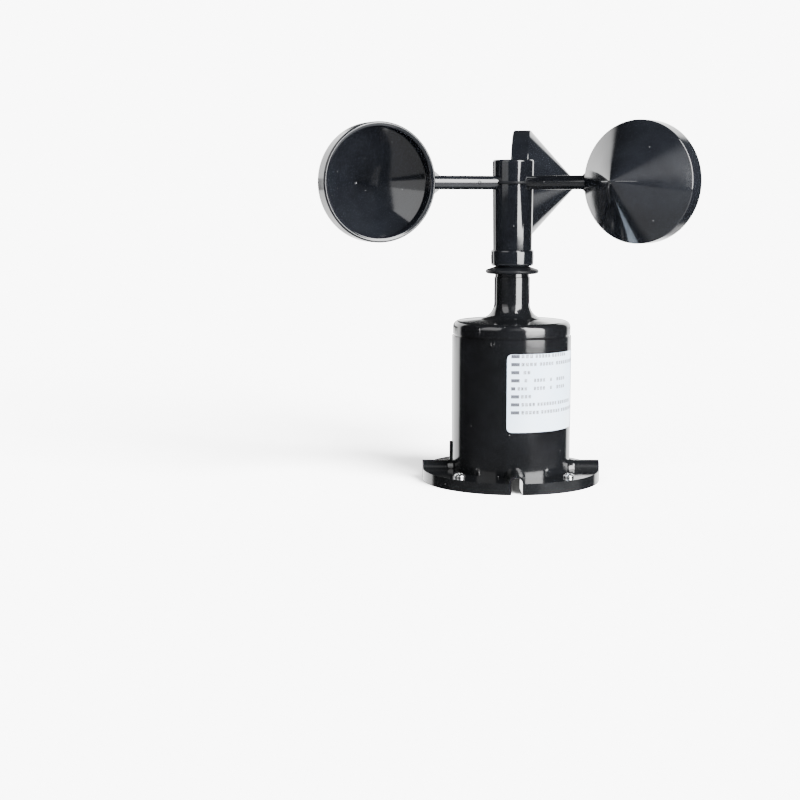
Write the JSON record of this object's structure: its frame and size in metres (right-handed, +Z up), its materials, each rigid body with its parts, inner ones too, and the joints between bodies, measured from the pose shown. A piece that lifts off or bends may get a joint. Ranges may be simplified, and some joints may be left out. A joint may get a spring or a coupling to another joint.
{
  "type": "cup anemometer",
  "caption": "Cup anemometer: conical cups on arms turn a shaft in ball bearings above a round flanged barrel with a magnetic speed sensor inside.",
  "frame": {"origin": "centre of the flange's underside, which is the face that sits on the mounting plate", "axes": "+Z up along the rotor's axis; +X and +Y along the cable tunnels"},
  "size_m": [0.1773, 0.1696, 0.1847],
  "materials": {
    "housing_plastic": "glossy moulded black",
    "rotor_plastic": "glossy moulded black with a mould line",
    "label_vinyl": "white printed sticker",
    "zinc": "bright zinc",
    "spring_steel": "dark spring steel",
    "bearing_steel": "ground steel",
    "nylon": "natural nylon",
    "magnet": "nickel-plated magnet",
    "brass": "turned brass",
    "rubber": "black rubber",
    "board": "green solder mask",
    "chip": "moulded epoxy",
    "can": "aluminium can"
  },
  "bodies": {
    "base": {"housing": "housing_plastic", "top_cap": "housing_plastic", "bearing_cap": "housing_plastic", "bottom_cover": "housing_plastic", "cap_seal": "rubber", "bottom_seal": "rubber", "cable_grommet": "rubber", "tie_screws": "zinc", "mounting_screws": "zinc", "board_screws": "zinc", "label": "label_vinyl", "bearing_circlip": "spring_steel", "upper_bearing_outer_ring": "bearing_steel", "lower_bearing_outer_ring": "bearing_steel", "circuit_board": "board", "hall_sensor": "chip", "microcontroller": "chip", "voltage_regulator": "chip", "capacitors": "can", "cable_connector": "nylon"},
    "rotor": {"shaft": "bearing_steel", "spacer_sleeve": "bearing_steel", "shaft_clip": "spring_steel", "upper_bearing_inner_ring": "bearing_steel", "lower_bearing_inner_ring": "bearing_steel", "magnet_carrier": "nylon", "magnets": "magnet", "drip_skirt": "rotor_plastic", "rotor_hub": "rotor_plastic", "hub_bush": "brass", "arm_1": "rotor_plastic", "arm_2": "rotor_plastic", "arm_3": "rotor_plastic", "cup_1": "rotor_plastic", "cup_2": "rotor_plastic", "cup_3": "rotor_plastic"},
    "upper_ball_set": {"upper_bearing_balls": "bearing_steel", "upper_bearing_cage": "nylon"},
    "lower_ball_set": {"lower_bearing_balls": "bearing_steel", "lower_bearing_cage": "nylon"}
  },
  "joints": [
    {"name": "rotor_spin", "type": "hinge", "parent": "base", "child": "rotor", "pos_m": [0, 0, 0.15], "axis": [0, 0, 1], "continuous": true},
    {"name": "upper_ball_set_spin", "type": "hinge", "parent": "base", "child": "upper_ball_set", "pos_m": [0, 0, 0.1001], "axis": [0, 0, 1], "continuous": true},
    {"name": "lower_ball_set_spin", "type": "hinge", "parent": "base", "child": "lower_ball_set", "pos_m": [0, 0, 0.0745], "axis": [0, 0, 1], "continuous": true}
  ],
  "couplings": [
    {"joint": "upper_ball_set_spin", "follows": "rotor_spin", "ratio": 0.3647},
    {"joint": "lower_ball_set_spin", "follows": "rotor_spin", "ratio": 0.3647}
  ]
}
